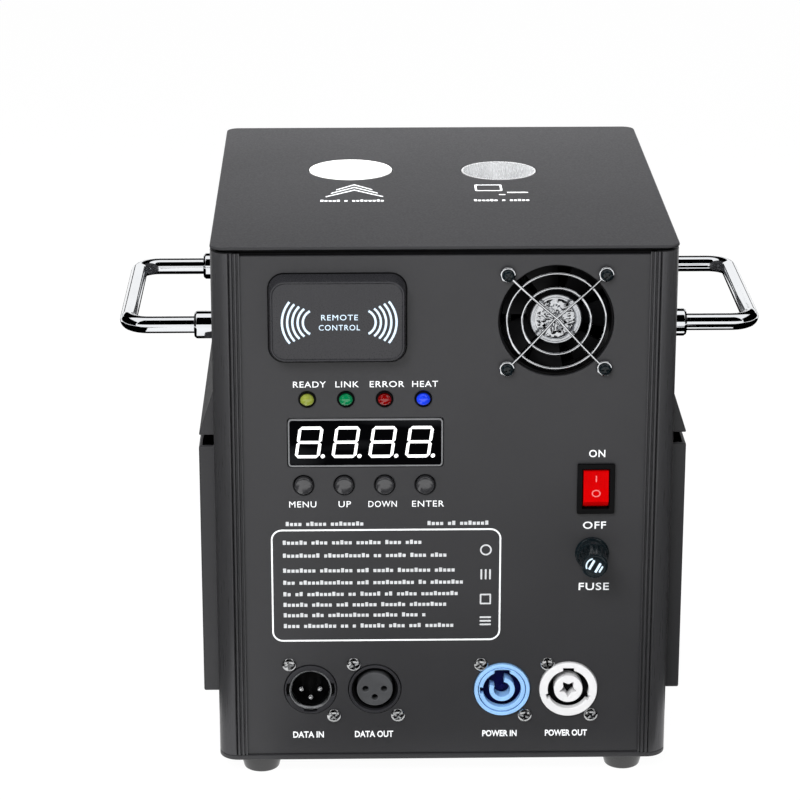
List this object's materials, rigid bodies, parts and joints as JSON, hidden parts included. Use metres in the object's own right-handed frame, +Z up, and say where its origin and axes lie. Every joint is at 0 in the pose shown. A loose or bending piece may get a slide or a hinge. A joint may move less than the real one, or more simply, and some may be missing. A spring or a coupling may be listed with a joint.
{
  "type": "cold spark machine",
  "caption": "Boxed stage effect that feeds granulate from a hopper to a heated spark nozzle, with a control panel, side handles and vent covers.",
  "frame": {"origin": "on the floor under the four feet, below the centre of the whole machine's box", "axes": "+Z up, -Y towards the control panel, +X to the right of a person who faces the control panel"},
  "size_m": [0.3016, 0.246, 0.258],
  "materials": {
    "case_paint": "fine textured charcoal powder coat",
    "post_paint": "satin charcoal coat on a fluted extrusion",
    "foot_rubber": "semi-gloss black rubber",
    "chrome": "bright chrome plate",
    "circuit_board": "green solder mask",
    "display_window": "dark display window",
    "yellow_lens": "tinted lamp lens",
    "green_lens": "tinted lamp lens",
    "red_lens": "tinted lamp lens",
    "blue_lens": "tinted lamp lens",
    "black_plastic": "moulded black",
    "grey_plastic": "moulded grey",
    "red_plastic": "moulded red",
    "blue_plastic": "moulded light blue",
    "white_plastic": "moulded white",
    "fuse_glass": "clear glass tube",
    "ceramic": "pale technical ceramic",
    "insulation": "pressed mineral fibre",
    "steel": "plain stainless steel",
    "polished_steel": "mirror polished stainless steel",
    "supply_case": "plain folded sheet"
  },
  "bodies": {
    "case": {"base_plate": "case_paint", "top_plate": "case_paint", "control_panel": "case_paint", "rear_panel": "case_paint", "side_panel_left": "case_paint", "side_panel_right": "case_paint", "vent_cover_left": "case_paint", "vent_cover_right": "case_paint", "receiver_cover": "case_paint", "corner_post_front_left": "post_paint", "corner_post_front_right": "post_paint", "corner_post_rear_left": "post_paint", "corner_post_rear_right": "post_paint", "foot_front_left": "foot_rubber", "foot_front_right": "foot_rubber", "foot_rear_left": "foot_rubber", "foot_rear_right": "foot_rubber", "handle_left": "chrome", "handle_right": "chrome", "handle_collar_front_left": "chrome", "handle_collar_front_right": "chrome", "handle_collar_rear_left": "chrome", "handle_collar_rear_right": "chrome", "receiver_board": "circuit_board", "display_board": "circuit_board", "control_board": "circuit_board", "display_module": "display_window", "lamp_ready": "yellow_lens", "lamp_link": "green_lens", "lamp_error": "red_lens", "lamp_heat": "blue_lens", "switch_frame": "black_plastic", "fuse_holder": "black_plastic", "signal_input": "black_plastic", "signal_output": "grey_plastic", "power_input": "blue_plastic", "power_output": "white_plastic", "fan_frame": "black_plastic", "fan_guard": "chrome", "nozzle_liner": "ceramic", "spark_chamber": "steel", "heater_sleeve": "ceramic", "insulation_jacket": "insulation", "hopper": "polished_steel", "feed_barrel": "steel", "feed_motor": "steel", "feed_bracket": "steel", "blower_housing": "black_plastic", "power_supply": "supply_case"},
    "button_menu": {"button_menu": "black_plastic"},
    "button_up": {"button_up": "black_plastic"},
    "button_down": {"button_down": "black_plastic"},
    "button_enter": {"button_enter": "black_plastic"},
    "switch_rocker": {"switch_rocker": "red_plastic"},
    "fuse_carrier": {"fuse_cartridge": "fuse_glass"},
    "fuse_cap": {"fuse_cap": "black_plastic"},
    "fan_rotor": {"fan_rotor": "black_plastic"},
    "blower_impeller": {"blower_impeller": "grey_plastic"},
    "feed_screw": {"feed_screw": "steel"}
  },
  "joints": [
    {"name": "menu_press", "type": "slide", "parent": "case", "child": "button_menu", "axis": [0, 1, 0], "range_m": [0, 0.0008], "stiffness_N_per_m": 500, "springref_m": -0.001},
    {"name": "up_press", "type": "slide", "parent": "case", "child": "button_up", "axis": [0, 1, 0], "range_m": [0, 0.0008], "stiffness_N_per_m": 500, "springref_m": -0.001},
    {"name": "down_press", "type": "slide", "parent": "case", "child": "button_down", "axis": [0, 1, 0], "range_m": [0, 0.0008], "stiffness_N_per_m": 500, "springref_m": -0.001},
    {"name": "enter_press", "type": "slide", "parent": "case", "child": "button_enter", "axis": [0, 1, 0], "range_m": [0, 0.0008], "stiffness_N_per_m": 500, "springref_m": -0.001},
    {"name": "switch_rock", "type": "hinge", "parent": "case", "child": "switch_rocker", "pos_m": [0.0694, -0.1043, 0.1428], "axis": [1, 0, 0], "range_deg": [0, 16]},
    {"name": "fuse_pull", "type": "slide", "parent": "case", "child": "fuse_carrier", "axis": [0, -1, 0], "range_m": [0, 0.035]},
    {"name": "fuse_turn", "type": "hinge", "parent": "fuse_carrier", "child": "fuse_cap", "pos_m": [0.06829, -0.115, 0.111], "axis": [0, 1, 0], "range_deg": [0, 45]},
    {"name": "fan_spin", "type": "hinge", "parent": "case", "child": "fan_rotor", "pos_m": [0.05, -0.096, 0.2228], "axis": [0, 1, 0], "continuous": true},
    {"name": "blower_spin", "type": "hinge", "parent": "case", "child": "blower_impeller", "pos_m": [-0.0246, 0.034, 0.046], "axis": [0, 1, 0], "continuous": true},
    {"name": "feed_spin", "type": "hinge", "parent": "case", "child": "feed_screw", "pos_m": [0.02, 0.031, 0.1654], "axis": [1, 0, 0], "continuous": true}
  ]
}
